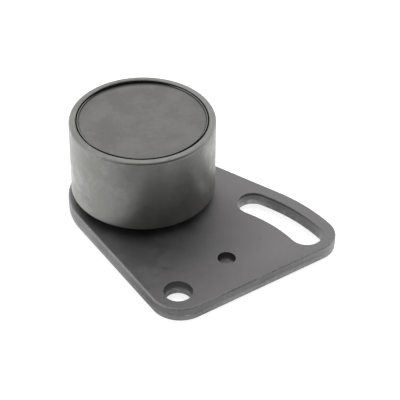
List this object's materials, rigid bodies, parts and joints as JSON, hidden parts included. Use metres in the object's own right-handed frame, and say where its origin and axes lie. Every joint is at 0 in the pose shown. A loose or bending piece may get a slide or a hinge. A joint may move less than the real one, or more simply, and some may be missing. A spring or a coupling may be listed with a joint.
{
  "type": "timing belt tensioner pulley",
  "caption": "Plain steel idler roller on a sealed ball bearing, closed by a pressed cap and riveted on a flat stamped plate with a pivot hole and a curved adjusting slot.",
  "frame": {"origin": "on the roller's axis at the plate's mounting face, where the stud's riveted end lies flush", "axes": "+Z along the roller's axis, from the plate towards the end cap; -Y from the roller's axis towards the pivot hole; the slot is at +X"},
  "size_m": [0.1025, 0.1069, 0.0432],
  "materials": {
    "plate_steel": "dark phosphated stamped steel, satin",
    "stud_steel": "turned, as machined",
    "roller_steel": "ground and lightly darkened, satin",
    "cap_steel": "pressed sheet, dull grey",
    "bearing_steel": "ground and polished",
    "cage_plastic": "moulded natural polyamide",
    "seal_rubber": "moulded black rubber on a steel core"
  },
  "bodies": {
    "plate": {"base_plate": "plate_steel", "pulley_stud": "stud_steel", "inner_ring_rear": "bearing_steel", "inner_ring_front": "bearing_steel"},
    "roller": {"idler_roller": "roller_steel", "end_cap": "cap_steel", "rear_seal": "seal_rubber"},
    "rear_cage": {"cage_rear": "cage_plastic"},
    "front_cage": {"cage_front": "cage_plastic"},
    "ball_rear_01": {"ball_rear_01": "bearing_steel"},
    "ball_rear_02": {"ball_rear_02": "bearing_steel"},
    "ball_rear_03": {"ball_rear_03": "bearing_steel"},
    "ball_rear_04": {"ball_rear_04": "bearing_steel"},
    "ball_rear_05": {"ball_rear_05": "bearing_steel"},
    "ball_rear_06": {"ball_rear_06": "bearing_steel"},
    "ball_rear_07": {"ball_rear_07": "bearing_steel"},
    "ball_rear_08": {"ball_rear_08": "bearing_steel"},
    "ball_rear_09": {"ball_rear_09": "bearing_steel"},
    "ball_rear_10": {"ball_rear_10": "bearing_steel"},
    "ball_rear_11": {"ball_rear_11": "bearing_steel"},
    "ball_front_01": {"ball_front_01": "bearing_steel"},
    "ball_front_02": {"ball_front_02": "bearing_steel"},
    "ball_front_03": {"ball_front_03": "bearing_steel"},
    "ball_front_04": {"ball_front_04": "bearing_steel"},
    "ball_front_05": {"ball_front_05": "bearing_steel"},
    "ball_front_06": {"ball_front_06": "bearing_steel"},
    "ball_front_07": {"ball_front_07": "bearing_steel"},
    "ball_front_08": {"ball_front_08": "bearing_steel"},
    "ball_front_09": {"ball_front_09": "bearing_steel"},
    "ball_front_10": {"ball_front_10": "bearing_steel"},
    "ball_front_11": {"ball_front_11": "bearing_steel"}
  },
  "joints": [
    {"name": "roller_spin", "type": "hinge", "parent": "plate", "child": "roller", "pos_m": [0, 0, 0.02625], "axis": [0, 0, 1], "continuous": true},
    {"name": "rear_cage_turn", "type": "hinge", "parent": "plate", "child": "rear_cage", "pos_m": [0, 0, 0.01885], "axis": [0, 0, 1], "continuous": true},
    {"name": "front_cage_turn", "type": "hinge", "parent": "plate", "child": "front_cage", "pos_m": [0, 0, 0.03365], "axis": [0, 0, 1], "continuous": true},
    {"name": "ball_rear_01_spin", "type": "hinge", "parent": "rear_cage", "child": "ball_rear_01", "pos_m": [0.0194, 0, 0.01885], "axis": [0, 0, 1], "continuous": true},
    {"name": "ball_rear_02_spin", "type": "hinge", "parent": "rear_cage", "child": "ball_rear_02", "pos_m": [0.01632, 0.01049, 0.01885], "axis": [0, 0, 1], "continuous": true},
    {"name": "ball_rear_03_spin", "type": "hinge", "parent": "rear_cage", "child": "ball_rear_03", "pos_m": [0.00806, 0.01765, 0.01885], "axis": [0, 0, 1], "continuous": true},
    {"name": "ball_rear_04_spin", "type": "hinge", "parent": "rear_cage", "child": "ball_rear_04", "pos_m": [-0.00276, 0.0192, 0.01885], "axis": [0, 0, 1], "continuous": true},
    {"name": "ball_rear_05_spin", "type": "hinge", "parent": "rear_cage", "child": "ball_rear_05", "pos_m": [-0.0127, 0.01466, 0.01885], "axis": [0, 0, 1], "continuous": true},
    {"name": "ball_rear_06_spin", "type": "hinge", "parent": "rear_cage", "child": "ball_rear_06", "pos_m": [-0.01861, 0.00547, 0.01885], "axis": [0, 0, 1], "continuous": true},
    {"name": "ball_rear_07_spin", "type": "hinge", "parent": "rear_cage", "child": "ball_rear_07", "pos_m": [-0.01861, -0.00547, 0.01885], "axis": [0, 0, 1], "continuous": true},
    {"name": "ball_rear_08_spin", "type": "hinge", "parent": "rear_cage", "child": "ball_rear_08", "pos_m": [-0.0127, -0.01466, 0.01885], "axis": [0, 0, 1], "continuous": true},
    {"name": "ball_rear_09_spin", "type": "hinge", "parent": "rear_cage", "child": "ball_rear_09", "pos_m": [-0.00276, -0.0192, 0.01885], "axis": [0, 0, 1], "continuous": true},
    {"name": "ball_rear_10_spin", "type": "hinge", "parent": "rear_cage", "child": "ball_rear_10", "pos_m": [0.00806, -0.01765, 0.01885], "axis": [0, 0, 1], "continuous": true},
    {"name": "ball_rear_11_spin", "type": "hinge", "parent": "rear_cage", "child": "ball_rear_11", "pos_m": [0.01632, -0.01049, 0.01885], "axis": [0, 0, 1], "continuous": true},
    {"name": "ball_front_01_spin", "type": "hinge", "parent": "front_cage", "child": "ball_front_01", "pos_m": [0.0194, 0, 0.03365], "axis": [0, 0, 1], "continuous": true},
    {"name": "ball_front_02_spin", "type": "hinge", "parent": "front_cage", "child": "ball_front_02", "pos_m": [0.01632, 0.01049, 0.03365], "axis": [0, 0, 1], "continuous": true},
    {"name": "ball_front_03_spin", "type": "hinge", "parent": "front_cage", "child": "ball_front_03", "pos_m": [0.00806, 0.01765, 0.03365], "axis": [0, 0, 1], "continuous": true},
    {"name": "ball_front_04_spin", "type": "hinge", "parent": "front_cage", "child": "ball_front_04", "pos_m": [-0.00276, 0.0192, 0.03365], "axis": [0, 0, 1], "continuous": true},
    {"name": "ball_front_05_spin", "type": "hinge", "parent": "front_cage", "child": "ball_front_05", "pos_m": [-0.0127, 0.01466, 0.03365], "axis": [0, 0, 1], "continuous": true},
    {"name": "ball_front_06_spin", "type": "hinge", "parent": "front_cage", "child": "ball_front_06", "pos_m": [-0.01861, 0.00547, 0.03365], "axis": [0, 0, 1], "continuous": true},
    {"name": "ball_front_07_spin", "type": "hinge", "parent": "front_cage", "child": "ball_front_07", "pos_m": [-0.01861, -0.00547, 0.03365], "axis": [0, 0, 1], "continuous": true},
    {"name": "ball_front_08_spin", "type": "hinge", "parent": "front_cage", "child": "ball_front_08", "pos_m": [-0.0127, -0.01466, 0.03365], "axis": [0, 0, 1], "continuous": true},
    {"name": "ball_front_09_spin", "type": "hinge", "parent": "front_cage", "child": "ball_front_09", "pos_m": [-0.00276, -0.0192, 0.03365], "axis": [0, 0, 1], "continuous": true},
    {"name": "ball_front_10_spin", "type": "hinge", "parent": "front_cage", "child": "ball_front_10", "pos_m": [0.00806, -0.01765, 0.03365], "axis": [0, 0, 1], "continuous": true},
    {"name": "ball_front_11_spin", "type": "hinge", "parent": "front_cage", "child": "ball_front_11", "pos_m": [0.01632, -0.01049, 0.03365], "axis": [0, 0, 1], "continuous": true}
  ],
  "couplings": [
    {"joint": "rear_cage_turn", "follows": "roller_spin", "ratio": 0.59206},
    {"joint": "front_cage_turn", "follows": "roller_spin", "ratio": 0.59206},
    {"joint": "ball_rear_01_spin", "follows": "roller_spin", "ratio": 2.6235},
    {"joint": "ball_rear_02_spin", "follows": "roller_spin", "ratio": 2.6235},
    {"joint": "ball_rear_03_spin", "follows": "roller_spin", "ratio": 2.6235},
    {"joint": "ball_rear_04_spin", "follows": "roller_spin", "ratio": 2.6235},
    {"joint": "ball_rear_05_spin", "follows": "roller_spin", "ratio": 2.6235},
    {"joint": "ball_rear_06_spin", "follows": "roller_spin", "ratio": 2.6235},
    {"joint": "ball_rear_07_spin", "follows": "roller_spin", "ratio": 2.6235},
    {"joint": "ball_rear_08_spin", "follows": "roller_spin", "ratio": 2.6235},
    {"joint": "ball_rear_09_spin", "follows": "roller_spin", "ratio": 2.6235},
    {"joint": "ball_rear_10_spin", "follows": "roller_spin", "ratio": 2.6235},
    {"joint": "ball_rear_11_spin", "follows": "roller_spin", "ratio": 2.6235},
    {"joint": "ball_front_01_spin", "follows": "roller_spin", "ratio": 2.6235},
    {"joint": "ball_front_02_spin", "follows": "roller_spin", "ratio": 2.6235},
    {"joint": "ball_front_03_spin", "follows": "roller_spin", "ratio": 2.6235},
    {"joint": "ball_front_04_spin", "follows": "roller_spin", "ratio": 2.6235},
    {"joint": "ball_front_05_spin", "follows": "roller_spin", "ratio": 2.6235},
    {"joint": "ball_front_06_spin", "follows": "roller_spin", "ratio": 2.6235},
    {"joint": "ball_front_07_spin", "follows": "roller_spin", "ratio": 2.6235},
    {"joint": "ball_front_08_spin", "follows": "roller_spin", "ratio": 2.6235},
    {"joint": "ball_front_09_spin", "follows": "roller_spin", "ratio": 2.6235},
    {"joint": "ball_front_10_spin", "follows": "roller_spin", "ratio": 2.6235},
    {"joint": "ball_front_11_spin", "follows": "roller_spin", "ratio": 2.6235}
  ]
}
